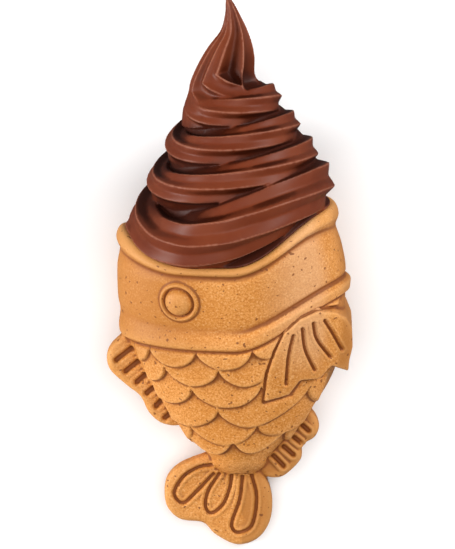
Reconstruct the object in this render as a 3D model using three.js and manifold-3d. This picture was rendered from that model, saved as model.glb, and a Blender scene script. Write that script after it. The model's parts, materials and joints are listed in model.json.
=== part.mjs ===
// A taiyaki ice cream cone, lying on its back: a fish-shaped waffle with an open mouth,
// and a swirl of chocolate soft serve standing in that mouth.
//
// The food is drawn upright first, in the frame of its mould: u to the right, v up along
// the fish, w out of the mould's parting plane. It is then laid down on its back, so that
// u becomes X, v becomes mostly Y and w becomes mostly Z, and small flats are cut where it
// rests. Lengths are millimetres and angles are degrees.

import * as THREE from 'three';
import { mergeVertices } from 'three/addons/utils/BufferGeometryUtils.js';
import Module from 'manifold-3d';

const wasm = await Module();
wasm.setup();

// ---------- how it lies ----------

const LIE_ANGLE = 15;
const AXIS_HEIGHT = 39.1;
const CENTRE_X = -0.69;
const CENTRE_Y = 17.67;
const TABLE_SIZE = 400;
const TABLE_THICKNESS = 40;

// ---------- the fish's body ----------

const MOUTH_HALF_WIDTH = 44.6;
const BODY_HALF_WIDTH = 48.1;
const BODY_HALF_DEPTH = 36;
const MOUTH_CORNER_V = 11.5;
const MOUTH_STARTS_V = -18;
const BODY_FULL_V = -13;
const TAIL_END_V = -106.5;

// the belly narrows as the cosine of a power, and a round end closes it
const TAPER_REACH = 0.97;
const TAPER_POWER = 1.42;
const END_STARTS = 0.905;
const TAIL_DEPTH_LOSS = 0.78;
const DEPTH_LOSS_LENGTH = 110;
const DEPTH_LOSS_POWER = 1.5;

// the body's middle line swings to the right on its way down
const CENTRE_AT_MOUTH = 0.1;
const CENTRE_AT_HEAD = 1.5;
const CENTRE_AT_TAIL = 4.7;
const SWING_STARTS = 25;
const SWING_ENDS = 68;

// the rim and the gill cover climb to the right edge, and a little to the left one
const RIM_FRONT_V = -8;
const RIM_RIGHT_RISE = 19.5;
const RIM_LEFT_RISE = 9.7;
const LEFT_RISE_STARTS = 0.45;
const GILL_TOP_V = -37.3;
const GILL_TOP_RISE = 18;
const GILL_TOP_LEFT_RISE = 2;
const GILL_BOTTOM_V = -45.5;
const GILL_BOTTOM_RISE = 20;

// the gill cover from its lower edge to its upper one: share of the way, and how proud
const GILL_PROFILE = [
  { share: 0, proud: 0.1 },
  { share: 0.14, proud: 1.5 },
  { share: 0.8, proud: 1.35 },
  { share: 1, proud: 0.1 },
];

const WALL = 4.5;
const CUP_DEPTH = 17;
const CUP_FLOOR_RISE = 3;
const LIP_HEIGHT = 3.4;
const LIP_CORNER_EXTRA = 4.5;

// the lip outside: how far below the rim, in lip heights, and how proud of the skin
const LIP_PROFILE = [
  { drop: 1.35, proud: 0 },
  { drop: 1, proud: -0.7 },
  { drop: 0.7, proud: 1.2 },
  { drop: 0.15, proud: 1.1 },
];

// the mouth inside: how far below the rim, and how proud of the skin
const MOUTH_PROFILE = [
  { drop: 0, proud: -1 },
  { drop: 0.4, proud: 0.8 - WALL },
  { drop: 2, proud: -WALL },
  { drop: CUP_DEPTH, proud: -WALL - 4 },
];

// ---------- the fish's scales ----------

// one entry for each row of scales above the last one, from the tail up: its place on the
// way from tail to gill, counted in row spaces, the turn from one scale to the next round
// the belly, and the turn of the scale nearest to the middle
const SCALE_ROWS = [
  { place: 1.25, turn: 50, middle: -35 },
  { place: 2.1, turn: 60, middle: -15 },
  { place: 3, turn: 60, middle: -45 },
  { place: 4.1, turn: 40, middle: -10 },
  { place: 5.2, turn: 30, middle: -25 },
  { place: 6.1, turn: 30, middle: -35 },
];
const ROW_SPACES = 7;
const SCALE_STEP = 1.3;
const SCALE_ARC = 0.76;
const SCALE_EDGE = 0.056;

// the last scale, round the tail's end
const LAST_SCALE = [
  { share: 0.012, proud: 0.6 },
  { share: 0.05, proud: 1.04 },
];

const FINE_STEP = 5;
const PLAIN_STEP = 10;
const COARSE_STEP = 15;

// ---------- eye, fins and tail ----------

const EYE_U = -20.7;
const EYE_V = -23.5;
const EYE_SEGMENTS = 16;

// the eye's half section, a ring round a dome: radius and height over the cheek
const EYE_PROFILE = [
  [0, -2], [8.7, 0], [7.9, 0.95], [6.9, 1.0], [6.1, 0.25], [5.6, 0.9], [4.4, 1.8], [2.4, 2.4], [0, 2.6],
];

const FIN_HALF_THICKNESS = 4.5;
const ANAL_HALF_THICKNESS = 4.2;
const TAIL_HALF_THICKNESS = 4.2;
const FIN_BEVEL = 1.4;
const FIN_POINTS = 24;
const SLOT_DEPTH = 1.6;
const OVERCUT = 1;

const DORSAL_OUTLINE = [
  [-40, -41], [-45, -45.4], [-49.6, -50.2], [-51.1, -55], [-49.6, -60.4], [-43, -66.8], [-37, -71.8],
  [-33.6, -78.6], [-28.5, -83.3], [-21, -84.6], [-14, -80], [-24, -64], [-34, -48],
];
const DORSAL_SLOTS = [
  { from: [-40.6, -50.4], to: [-46.8, -55.4], width: 2.6 },
  { from: [-38, -56.2], to: [-43, -60.4], width: 2.6 },
  { from: [-34.6, -61.8], to: [-38.3, -65.1], width: 2.8 },
  { from: [-31.4, -67.6], to: [-34.2, -70], width: 2.8 },
  { from: [-28, -73.2], to: [-30.2, -75.6], width: 2.6 },
  { from: [-24.6, -79.2], to: [-26.6, -80.9], width: 2.4 },
];

const ANAL_OUTLINE = [
  [30, -76], [35.6, -78.4], [38.5, -84.4], [36.8, -89.6], [31.6, -93.4], [30.9, -99.4], [24.9, -105.9],
  [20.5, -107.6], [15.4, -106.4], [11, -100], [16, -88], [24, -80],
];
const ANAL_SLOTS = [
  { from: [31, -84.6], to: [33.4, -86.6], width: 2.4 },
  { from: [27.2, -89.2], to: [30, -91.6], width: 2.4 },
  { from: [23.4, -93.4], to: [27.2, -96.9], width: 2.4 },
  { from: [19.2, -97.4], to: [23, -101.8], width: 2.4 },
];

const TAIL_OUTLINE = [
  [-4, -96], [-11, -98], [-20, -101.8], [-25.4, -107], [-26.9, -113.6], [-25.6, -120.8], [-20, -126],
  [-10.6, -127.4], [-5.4, -132.6], [3.8, -137.1], [12.4, -134.6], [17.6, -127.4], [18.8, -118],
  [17, -109.6], [12, -101.4], [5, -95],
];
const TAIL_POINTS = 32;
const TAIL_PETALS = [
  [[-8, -102.4], [-15, -103.8], [-21.6, -110], [-22.6, -116], [-18.6, -118.6], [-13.4, -113.6], [-7, -105.6]],
  [[-1.4, -105], [-6, -109], [-9, -115], [-9.2, -122], [-4.6, -121.4], [0, -115], [1.6, -106.5]],
  [[7.6, -104.6], [5.6, -112], [2.4, -124], [2, -130.4], [8.4, -130.2], [11.4, -123], [11.8, -110]],
];
const PETAL_POINTS = 13;
const PETAL_GROOVE_WIDTH = 1.92;
const PETAL_GROOVE_DEPTH = 1.28;

// the cheek fins are cut from a body that is fatter all round and wider at its side edges
const PECTORAL_OUTLINE = [
  [23.5, -37], [30.2, -31], [37.5, -28.3], [44.5, -29.8], [49.6, -33.4], [52.1, -39], [52.4, -47.5],
  [51, -53.5], [50.6, -58.6], [43.5, -54], [38.5, -59.4], [30.2, -59.2], [25.6, -65.6], [15.2, -68.4],
  [16.4, -56], [19.5, -46],
];
const PECTORAL_RAYS = [
  [[27.2, -38.5], [25.4, -47.5], [24.2, -60.5]],
  [[31.4, -36], [33, -46.5], [36, -55]],
  [[36, -34.4], [38.3, -43], [42.2, -49.8]],
  [[40.8, -33.8], [44.5, -40.4], [47.9, -48.4]],
];
const PECTORAL_PROUD = 2.2;
const PECTORAL_FLOOR = 0.7;
const PECTORAL_REACH = 7;
const PECTORAL_HEIGHT = 60;
const RAY_WIDTH = 2.4;
const SWOLLEN_LOW_V = -80;
const SWOLLEN_HIGH_V = 0;
const SWOLLEN_STEP = 10;
const SWOLLEN_END = 8;

// ---------- the soft serve ----------

const ROPE_RADIUS = 8.6;
const FIRST_TURN_EXTRA = 8.6;
const FAT_UNTIL = 0.1;
const THINS_OVER = 0.95;

const SWIRL_TILT = 14;
const SWIRL_START = -0.38;
const SWIRL_TURNS = 3.3;
const SWIRL_OUTER = 45.6;
const SWIRL_TAPER = 7.4;
const SWIRL_BASE_V = 8.7;
const SWIRL_PITCH = 14.9;
const KNOTS_PER_TURN = 17;

// the first turn slumps over the front lip
const SLUMP_AT = 0.34;
const SLUMP_WIDTH = 0.22;
const SLUMP_SAG = 4;
const SLUMP_OVERHANG = 1.6;

// after the coils the tip is pulled up, over and off the nozzle
const PEAK = [
  { at: [-7, 60.6, 6.4], radius: 10 },
  { at: [-4, 65.4, 2.2], radius: 12.2 },
  { at: [-1.2, 70.4, 0], radius: 12 },
  { at: [1.2, 77.8, 0], radius: 9.6 },
  { at: [2.6, 86.1, 0], radius: 5.9 },
  { at: [2.1, 93.5, 0], radius: 3.4 },
  { at: [0.9, 97.6, 0], radius: 2.1 },
  { at: [-0.4, 101, 0], radius: 0.5 },
];

const NOZZLE_RIDGES = 10;
const NOZZLE_PHASE = 0;
const POINTS_PER_RIDGE = 3;
const RIDGE_DEPTH = 0.17;
const KNOTS_PER_LENGTH = 4;

const CORE_FOOT = [[0, -12], [24, -8]];
const CORE_TURNS = 3.1;
const CORE_STEP = 0.5;
const CORE_OVERLAP = 1.5;
const CORE_LEAN = 0.36;
const CORE_TOP_V = 66;
const CORE_SEGMENTS = 20;

// the plug in the mouth, from below up: how far above the rim, and how proud of the skin
const PLUG_PROFILE = [
  { rise: -CUP_DEPTH - 2, proud: -WALL / 2 - 8 },
  { rise: 2 - CUP_DEPTH, proud: -WALL / 2 },
  { rise: -2.5, proud: -WALL / 2 - 2 },
];
const PLUG_END_DROP = 6;
const PLUG_SHOULDER_V = 2;
const PLUG_SHOULDER_INSET = 16;
const PLUG_TOP_V = 10;

const FIT_GAP = 0.5;
const ROOM_BELOW_RIM = 24;
const ROOM_END_V = -48;

// ---------- finishes ----------

const BATTER = new THREE.MeshStandardMaterial({ color: 0xd79a55, roughness: 0.75, metalness: 0 });
const CHOCOLATE = new THREE.MeshStandardMaterial({ color: 0x5a2c1c, roughness: 0.4, metalness: 0 });

// ---------- small helpers ----------

const rad = THREE.MathUtils.degToRad;
const deg = THREE.MathUtils.radToDeg;
const lerp = THREE.MathUtils.lerp;
const clamp = THREE.MathUtils.clamp;
const smooth = THREE.MathUtils.smoothstep;

function solidFrom(geometry) {
  const bare = geometry.clone();
  bare.deleteAttribute('normal');
  bare.deleteAttribute('uv');
  const merged = mergeVertices(bare, 1e-4);
  return new wasm.Manifold(new wasm.Mesh({
    numProp: 3,
    vertProperties: new Float32Array(merged.attributes.position.array),
    triVerts: new Uint32Array(merged.index.array),
  }));
}

function geometryFrom(solid) {
  const mesh = solid.getMesh();
  const geometry = new THREE.BufferGeometry();
  geometry.setAttribute('position', new THREE.BufferAttribute(mesh.vertProperties, 3));
  geometry.setIndex(new THREE.BufferAttribute(mesh.triVerts, 1));
  geometry.computeVertexNormals();
  return geometry;
}

// Coils that touch trap pockets smaller than a pinhead. The food has none of them, so only
// the largest connected skin is kept.
function withoutPockets(geometry) {
  const index = geometry.index.array;
  const owner = Array.from({ length: geometry.attributes.position.count }, (unused, i) => i);
  const root = (i) => {
    while (owner[i] !== i) i = owner[i];
    return i;
  };
  for (let i = 0; i < index.length; i += 3) {
    const first = root(index[i]);
    owner[root(index[i + 1])] = first;
    owner[root(index[i + 2])] = first;
  }
  const skins = new Map();
  for (let i = 0; i < index.length; i += 3) {
    const skin = root(index[i]);
    if (!skins.has(skin)) skins.set(skin, []);
    skins.get(skin).push(index[i], index[i + 1], index[i + 2]);
  }
  const largest = [...skins.values()].sort((a, b) => b.length - a.length)[0];
  const kept = geometry.clone();
  kept.setIndex(largest);
  return kept;
}

// A closed skin over rings of points. Each ring runs the same way round, and the first and
// the last ring are single points.
function ringSkin(rings) {
  const points = [];
  const starts = [];
  for (const ring of rings) {
    starts.push(points.length);
    points.push(...ring);
  }
  const index = [];
  const count = rings[1].length;
  for (let i = 0; i < rings.length - 1; i++) {
    const low = rings[i];
    const high = rings[i + 1];
    for (let j = 0; j < count; j++) {
      const next = (j + 1) % count;
      const a = starts[i] + (low.length > 1 ? j : 0);
      const b = starts[i] + (low.length > 1 ? next : 0);
      const c = starts[i + 1] + (high.length > 1 ? j : 0);
      const d = starts[i + 1] + (high.length > 1 ? next : 0);
      if (low.length > 1) index.push(a, b, d);
      if (high.length > 1) index.push(a, d, c);
    }
  }
  const geometry = new THREE.BufferGeometry();
  geometry.setFromPoints(points);
  geometry.setIndex(index);
  return geometry;
}

function mirrorInPartingPlane(geometry) {
  const mirrored = geometry.clone();
  mirrored.scale(1, 1, -1);
  const index = mirrored.index
    ? Array.from(mirrored.index.array)
    : Array.from({ length: mirrored.attributes.position.count }, (unused, i) => i);
  for (let i = 0; i < index.length; i += 3) {
    [index[i + 1], index[i + 2]] = [index[i + 2], index[i + 1]];
  }
  mirrored.setIndex(index);
  return mirrored;
}

function bothHalves(geometry) {
  return solidFrom(geometry).add(solidFrom(mirrorInPartingPlane(geometry)));
}

const flatPoint = ([u, v]) => new THREE.Vector2(u, v);

// A smooth closed outline through a few points.
function roundOutline(points, count) {
  const knots = points.map(([u, v]) => new THREE.Vector3(u, v, 0));
  const curve = new THREE.CatmullRomCurve3(knots, true, 'centripetal');
  const spaced = curve.getSpacedPoints(count).slice(0, -1);
  return new THREE.Shape(spaced.map((p) => new THREE.Vector2(p.x, p.y)));
}

// A straight slot with round ends, drawn from one point to another.
function slotOutline([u1, v1], [u2, v2], width) {
  const along = Math.atan2(v2 - v1, u2 - u1);
  const shape = new THREE.Shape();
  const radius = width / 2;
  shape.absarc(u2, v2, radius, along - Math.PI / 2, along + Math.PI / 2);
  shape.absarc(u1, v1, radius, along + Math.PI / 2, along + 1.5 * Math.PI);
  return shape;
}

function plate(shape, low, high, bevel = 0) {
  const geometry = new THREE.ExtrudeGeometry(shape, {
    depth: high - low - 2 * bevel,
    bevelEnabled: bevel > 0,
    bevelThickness: bevel,
    bevelSize: bevel,
    bevelOffset: -bevel,
    bevelSegments: 1,
    curveSegments: 2,
  });
  geometry.translate(0, 0, low + bevel);
  return geometry;
}

// ---------- the waffle's outer skin ----------

// The body's section at a height: its centre, half width and half depth.
function bodySection(v) {
  const down = clamp((BODY_FULL_V - v) / (BODY_FULL_V - TAIL_END_V), 0, 1);
  const narrowed = Math.pow(TAPER_REACH * Math.min(down, END_STARTS), TAPER_POWER);
  const pastEnd = Math.max(0, (down - END_STARTS) / (1 - END_STARTS));
  const end = Math.sqrt(1 - pastEnd * pastEnd);
  const mouth = smooth(v, MOUTH_STARTS_V, MOUTH_CORNER_V);
  const swing = smooth(-v, SWING_STARTS, SWING_ENDS);
  const belowMouth = Math.max(0, -v) / DEPTH_LOSS_LENGTH;
  return {
    centre: lerp(lerp(CENTRE_AT_HEAD, CENTRE_AT_TAIL, swing), CENTRE_AT_MOUTH, mouth),
    halfWidth: lerp(BODY_HALF_WIDTH * Math.cos((Math.PI / 2) * narrowed) * end, MOUTH_HALF_WIDTH, mouth),
    halfDepth: BODY_HALF_DEPTH * (1 - TAIL_DEPTH_LOSS * Math.pow(belowMouth, DEPTH_LOSS_POWER)) * end,
  };
}

// A point of the skin: turn is -90 at the left edge, 0 at the front and 90 at the right.
function skinPoint(turn, v, proud) {
  const { centre, halfWidth, halfDepth } = bodySection(v);
  const side = Math.sin(rad(turn));
  const front = Math.cos(rad(turn));
  const normal = new THREE.Vector2(side * halfDepth, front * halfWidth);
  if (normal.length() < 1e-9) normal.set(side, front);
  normal.setLength(proud);
  return new THREE.Vector3(centre + halfWidth * side + normal.x, v, halfDepth * front + normal.y);
}

const axisPoint = (u, v) => [new THREE.Vector3(u, v, 0)];
const rightRise = (side) => smooth(side, 0, 1);
const leftRise = (side) => Math.pow(Math.max(0, -side - LEFT_RISE_STARTS) / (1 - LEFT_RISE_STARTS), 2);
const lipHeight = (side) => LIP_HEIGHT + LIP_CORNER_EXTRA * Math.pow(side, 4);

function rimV(side) {
  return RIM_FRONT_V + RIM_RIGHT_RISE * rightRise(side) + RIM_LEFT_RISE * leftRise(side);
}

function gillTopV(side) {
  return GILL_TOP_V + GILL_TOP_RISE * rightRise(side) + GILL_TOP_LEFT_RISE * leftRise(side);
}

function gillBottomV(side) {
  return GILL_BOTTOM_V + GILL_BOTTOM_RISE * rightRise(side);
}

const turnsRound = (step) => Array.from({ length: 360 / step }, (unused, i) => -90 + i * step);

function skinRing(heightAt, proud, step = FINE_STEP) {
  return turnsRound(step).map((turn) => {
    const side = Math.sin(rad(turn));
    return skinPoint(turn, heightAt(side, turn), proud);
  });
}

// How far up the belly a row of scales ends, as a share of the way from tail to gill. Each
// scale's edge is an arc, and the arcs of a row meet in cusps.
function scaleEdge({ place, turn: pitch, middle }, turn) {
  const belly = deg(Math.asin(clamp(Math.sin(rad(turn)), -1, 1)));
  const shifted = THREE.MathUtils.euclideanModulo(belly - middle + pitch / 2, pitch);
  const across = shifted / (pitch / 2) - 1;
  const cusp = 1 - Math.sqrt(1 - across * across);
  return (place + SCALE_ARC * cusp) / ROW_SPACES;
}

function scaleRings() {
  const upBelly = (side, share) => lerp(TAIL_END_V, gillBottomV(side), share);
  const rings = [axisPoint(CENTRE_AT_TAIL, TAIL_END_V)];
  for (const { share, proud } of LAST_SCALE) {
    rings.push(skinRing((side) => upBelly(side, share), proud));
  }
  for (const row of SCALE_ROWS) {
    const past = SCALE_EDGE / ROW_SPACES;
    rings.push(skinRing((side, turn) => upBelly(side, scaleEdge(row, turn)), 0));
    rings.push(skinRing((side, turn) => upBelly(side, scaleEdge(row, turn) + past), SCALE_STEP));
  }
  return rings;
}

function gillRings() {
  return GILL_PROFILE.map(({ share, proud }) => (
    skinRing((side) => lerp(gillBottomV(side), gillTopV(side), share), proud)
  ));
}

// The rings of the mouth, from under the lip over the rim and down into the cup. A gap
// makes the whole lip that much fatter.
function mouthRings(gap, step) {
  const lip = LIP_PROFILE.map(({ drop, proud }) => (
    skinRing((side) => rimV(side) - drop * lipHeight(side), proud + gap, step)
  ));
  const inside = MOUTH_PROFILE.map(({ drop, proud }) => (
    skinRing((side) => rimV(side) - drop + gap, proud - gap, step)
  ));
  const floor = axisPoint(CENTRE_AT_HEAD, RIM_FRONT_V - CUP_DEPTH + CUP_FLOOR_RISE + gap);
  return [...lip, ...inside, floor];
}

function waffleBody() {
  const underLip = (side) => rimV(side) - LIP_PROFILE[0].drop * lipHeight(side);
  const cheek = skinRing((side) => lerp(gillTopV(side), underLip(side), 0.5), 0);
  return solidFrom(ringSkin([...scaleRings(), ...gillRings(), cheek, ...mouthRings(0, FINE_STEP)]));
}

// ---------- eye, fins and tail ----------

// A round boss in a raised ring, set square on the cheek.
function eyes() {
  const eye = new THREE.LatheGeometry(EYE_PROFILE.map(flatPoint), EYE_SEGMENTS);
  const turn = deg(Math.asin((EYE_U - CENTRE_AT_HEAD) / BODY_HALF_WIDTH));
  const seat = skinPoint(turn, EYE_V, 0);
  const outward = skinPoint(turn, EYE_V, 1).sub(seat);
  eye.applyQuaternion(new THREE.Quaternion().setFromUnitVectors(new THREE.Vector3(0, 1, 0), outward));
  eye.translate(seat.x, seat.y, seat.z);
  return bothHalves(eye);
}

// The body swollen evenly, a little more at its side edges, to cut the cheek fins from.
function swollenBody(proud) {
  const rings = [axisPoint(CENTRE_AT_TAIL, SWOLLEN_LOW_V - SWOLLEN_END)];
  for (let v = SWOLLEN_LOW_V; v <= SWOLLEN_HIGH_V; v += SWOLLEN_STEP) {
    rings.push(turnsRound(COARSE_STEP).map((turn) => {
      const point = skinPoint(turn, v, proud);
      point.x += PECTORAL_REACH * Math.sin(rad(turn));
      return point;
    }));
  }
  rings.push(axisPoint(CENTRE_AT_HEAD, SWOLLEN_HIGH_V + 0.5));
  return solidFrom(ringSkin(rings));
}

function pectoralFins() {
  const blade = solidFrom(plate(new THREE.Shape(PECTORAL_OUTLINE.map(flatPoint)), 0, PECTORAL_HEIGHT));
  let grooved = blade;
  for (const ray of PECTORAL_RAYS) {
    for (let i = 0; i < ray.length - 1; i++) {
      const slot = slotOutline(ray[i], ray[i + 1], RAY_WIDTH);
      grooved = grooved.subtract(solidFrom(plate(slot, -OVERCUT, PECTORAL_HEIGHT + OVERCUT)));
    }
  }
  const top = grooved.intersect(swollenBody(PECTORAL_PROUD));
  const floor = blade.intersect(swollenBody(PECTORAL_FLOOR));
  return bothHalves(geometryFrom(top.add(floor)));
}

// A flat fin in the parting plane, with slots pressed into both of its faces.
function slottedFin(outline, half, slots) {
  let fin = solidFrom(plate(roundOutline(outline, FIN_POINTS), -half, half, FIN_BEVEL));
  for (const { from, to, width } of slots) {
    const slot = plate(slotOutline(from, to, width), half - SLOT_DEPTH, half + OVERCUT);
    fin = fin.subtract(bothHalves(slot));
  }
  return fin;
}

// A groove along a petal's edge: the petal's outline with a smaller one left standing.
function petalGroove(petal) {
  const shape = roundOutline(petal, PETAL_POINTS);
  const middle = new THREE.Vector2();
  for (const point of petal) middle.add(flatPoint(point));
  middle.divideScalar(petal.length);
  const island = shape.getPoints().map((p) => {
    const spoke = p.clone().sub(middle);
    return spoke.setLength(spoke.length() - PETAL_GROOVE_WIDTH).add(middle);
  });
  shape.holes.push(new THREE.Path(island));
  return plate(shape, TAIL_HALF_THICKNESS - PETAL_GROOVE_DEPTH, TAIL_HALF_THICKNESS + OVERCUT);
}

function tailFin() {
  const outline = roundOutline(TAIL_OUTLINE, TAIL_POINTS);
  let fin = solidFrom(plate(outline, -TAIL_HALF_THICKNESS, TAIL_HALF_THICKNESS, FIN_BEVEL));
  for (const petal of TAIL_PETALS) {
    fin = fin.subtract(bothHalves(petalGroove(petal)));
  }
  return fin;
}

function waffle() {
  return waffleBody()
    .add(eyes())
    .add(pectoralFins())
    .add(slottedFin(DORSAL_OUTLINE, FIN_HALF_THICKNESS, DORSAL_SLOTS))
    .add(slottedFin(ANAL_OUTLINE, ANAL_HALF_THICKNESS, ANAL_SLOTS))
    .add(tailFin());
}

// ---------- the soft serve ----------

// The rope's radius after so many turns: the first turn is the fattest.
function ropeRadius(turns) {
  const thinned = Math.max(0, turns - FAT_UNTIL) / THINS_OVER;
  return ROPE_RADIUS + FIRST_TURN_EXTRA * Math.exp(-thinned * thinned);
}

// The middle of the rope after so many turns. It winds right, front, left, back as it
// climbs, on rings that lean up to the right.
function ropeCentre(turns) {
  const slump = Math.exp(-Math.pow((turns - SLUMP_AT) / SLUMP_WIDTH, 2));
  const outer = SWIRL_OUTER - SWIRL_TAPER * Math.abs(turns) + SLUMP_OVERHANG * slump;
  const ring = outer - ropeRadius(turns);
  const round = 2 * Math.PI * turns;
  const lean = outer * Math.cos(round) * Math.sin(rad(SWIRL_TILT));
  const climb = SWIRL_BASE_V + SWIRL_PITCH * turns - SLUMP_SAG * slump;
  return new THREE.Vector3(ring * Math.cos(round), climb + lean, ring * Math.sin(round));
}

function ropeKnots() {
  const knots = [];
  for (let turns = SWIRL_START; turns <= SWIRL_TURNS; turns += 1 / KNOTS_PER_TURN) {
    knots.push({ at: ropeCentre(turns), radius: ropeRadius(turns) });
  }
  for (const { at, radius } of PEAK) {
    knots.push({ at: new THREE.Vector3(...at), radius });
  }
  return knots;
}

// The nozzle's star: sharp crests with round hollows between them.
function nozzleStar() {
  const count = NOZZLE_RIDGES * POINTS_PER_RIDGE;
  return Array.from({ length: count }, (unused, i) => {
    const angle = rad(NOZZLE_PHASE) + (2 * Math.PI * i) / count;
    const fromHollow = Math.abs(2 * ((i / POINTS_PER_RIDGE) % 1) - 1);
    const reach = 1 - RIDGE_DEPTH * (1 - fromHollow * fromHollow);
    return new THREE.Vector3(Math.cos(angle) * reach, 0, Math.sin(angle) * reach);
  });
}

function middleOf(points) {
  const sum = points.reduce((total, p) => total.add(p), new THREE.Vector3());
  return sum.divideScalar(points.length);
}

// The nozzle never turns, so each section is its star swung the shortest way from straight
// up onto the rope's direction. The rope is built in short closed lengths that share rings.
function rope() {
  const knots = ropeKnots();
  const path = new THREE.CatmullRomCurve3(knots.map((knot) => knot.at), false, 'centripetal');
  const star = nozzleStar();
  const up = new THREE.Vector3(0, 1, 0);
  const last = knots.length - 1;
  const ring = (i) => {
    const centre = path.getPoint(i / last);
    const swing = new THREE.Quaternion().setFromUnitVectors(up, path.getTangent(i / last));
    const { radius } = knots[i];
    const place = (spoke) => spoke.clone().multiplyScalar(radius).applyQuaternion(swing).add(centre);
    return star.map(place).reverse();
  };
  const lengths = [];
  for (let from = 0; from < last; from += KNOTS_PER_LENGTH) {
    const to = Math.min(from + KNOTS_PER_LENGTH, last);
    const rings = [];
    for (let i = from; i <= to; i++) rings.push(ring(i));
    lengths.push(solidFrom(ringSkin([[middleOf(rings[0])], ...rings, [middleOf(rings.at(-1))]])));
  }
  return lengths.reduce((whole, piece) => whole.add(piece));
}

// The ice cream inside the coils reaches the middle of the rope and leans as the rings do.
function core() {
  const profile = CORE_FOOT.map(flatPoint);
  for (let turns = 0; turns < CORE_TURNS; turns += CORE_STEP) {
    const radius = SWIRL_OUTER - SWIRL_TAPER * turns - ropeRadius(turns) + CORE_OVERLAP;
    profile.push(new THREE.Vector2(radius, SWIRL_BASE_V + SWIRL_PITCH * turns));
  }
  profile.push(new THREE.Vector2(0, CORE_TOP_V));
  const cone = new THREE.LatheGeometry(profile, CORE_SEGMENTS);
  cone.applyMatrix4(new THREE.Matrix4().makeShear(CORE_LEAN, 0, 0, 0, 0, 0));
  return solidFrom(cone);
}

// The ice cream that fills the fish's mouth.
function plug() {
  const rings = PLUG_PROFILE.map(({ rise, proud }) => (
    skinRing((side) => rimV(side) + rise, proud, PLAIN_STEP)
  ));
  return solidFrom(ringSkin([
    axisPoint(CENTRE_AT_HEAD, RIM_FRONT_V - CUP_DEPTH - PLUG_END_DROP),
    ...rings,
    skinRing(() => PLUG_SHOULDER_V, -PLUG_SHOULDER_INSET, PLAIN_STEP),
    axisPoint(CENTRE_AT_HEAD, PLUG_TOP_V),
  ]));
}

// The fish's mouth with a hair of room round it.
function mouthRoom() {
  return solidFrom(ringSkin([
    axisPoint(CENTRE_AT_HEAD, ROOM_END_V),
    skinRing((side) => rimV(side) - ROOM_BELOW_RIM, FIT_GAP, PLAIN_STEP),
    ...mouthRings(FIT_GAP, PLAIN_STEP),
  ]));
}

function softServe() {
  return rope().add(core()).add(plug()).subtract(mouthRoom());
}

// ---------- laid down on its flats ----------

const layDown = new THREE.Matrix4()
  .makeTranslation(CENTRE_X, CENTRE_Y, AXIS_HEIGHT)
  .multiply(new THREE.Matrix4().makeRotationX(rad(LIE_ANGLE)));

const table = new THREE.BoxGeometry(TABLE_SIZE, TABLE_SIZE, TABLE_THICKNESS);
table.translate(0, 0, -TABLE_THICKNESS / 2);

function laid(name, solid, material) {
  const geometry = geometryFrom(solid).applyMatrix4(layDown);
  const rested = solidFrom(geometry).subtract(solidFrom(table));
  const mesh = new THREE.Mesh(withoutPockets(geometryFrom(rested)), material);
  mesh.name = name;
  return mesh;
}

const cone = new THREE.Group();
cone.add(laid('waffle_cone', waffle(), BATTER));
cone.add(laid('soft_serve', softServe(), CHOCOLATE));

export default cone;
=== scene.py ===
# %% [markdown]
# # A taiyaki ice cream cone
# A fish-shaped waffle with an open mouth holds a swirl of chocolate soft serve. It can't
# stand by itself, so it lies on its back, and the camera looks down on it. They say
# where everything is, and the pieces made here take their place.

# %% Load the frame
import json
import math

import bmesh
import bpy
import numpy as np
from mathutils import Matrix, Vector
from mathutils.bvhtree import BVHTree

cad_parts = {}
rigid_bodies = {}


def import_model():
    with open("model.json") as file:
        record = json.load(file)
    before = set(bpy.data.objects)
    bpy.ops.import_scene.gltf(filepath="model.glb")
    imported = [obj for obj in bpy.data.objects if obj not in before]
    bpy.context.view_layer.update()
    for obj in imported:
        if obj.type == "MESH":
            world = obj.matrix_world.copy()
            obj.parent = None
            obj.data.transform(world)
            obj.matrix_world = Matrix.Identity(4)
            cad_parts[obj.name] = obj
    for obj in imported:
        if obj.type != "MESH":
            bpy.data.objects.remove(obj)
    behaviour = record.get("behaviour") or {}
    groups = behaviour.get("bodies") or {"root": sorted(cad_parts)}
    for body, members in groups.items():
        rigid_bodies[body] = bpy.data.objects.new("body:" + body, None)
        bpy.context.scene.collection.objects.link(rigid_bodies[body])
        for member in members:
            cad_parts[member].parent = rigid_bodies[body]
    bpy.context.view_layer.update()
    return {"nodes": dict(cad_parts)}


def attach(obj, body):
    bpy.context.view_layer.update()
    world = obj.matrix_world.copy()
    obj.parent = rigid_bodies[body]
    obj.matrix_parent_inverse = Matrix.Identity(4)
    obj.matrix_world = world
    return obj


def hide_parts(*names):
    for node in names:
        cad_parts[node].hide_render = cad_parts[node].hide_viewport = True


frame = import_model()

print("nodes:", sorted(frame["nodes"]))

# %% [markdown]
# ## The frame the food is drawn in
# The baker's mould has two halves that meet in one flat plane. It is easiest to draw the
# food in that mould's frame, in millimetres: u runs to the right, v up along the fish, and
# w out of the parting plane. One matrix then lays the finished mesh down on the table and
# turns millimetres into metres.

# %% The mould's frame and the table
LIE_ANGLE = 15
AXIS_HEIGHT = 39.1
CENTRE_X = -0.69
CENTRE_Y = 17.67
METRES = 0.001

TO_TABLE = (
    Matrix.Scale(METRES, 4)
    @ Matrix.Translation((CENTRE_X, CENTRE_Y, AXIS_HEIGHT))
    @ Matrix.Rotation(math.radians(LIE_ANGLE), 4, "X")
)


def smoothstep(x, low, high):
    """0 below low, 1 above high, and a soft rise between them."""
    share = np.clip((np.asarray(x, float) - low) / (high - low), 0, 1)
    return share * share * (3 - 2 * share)


def lerp(a, b, share):
    return a + (b - a) * share


print("laid down, the fish's axis is", AXIS_HEIGHT, "mm above the table")

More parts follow.
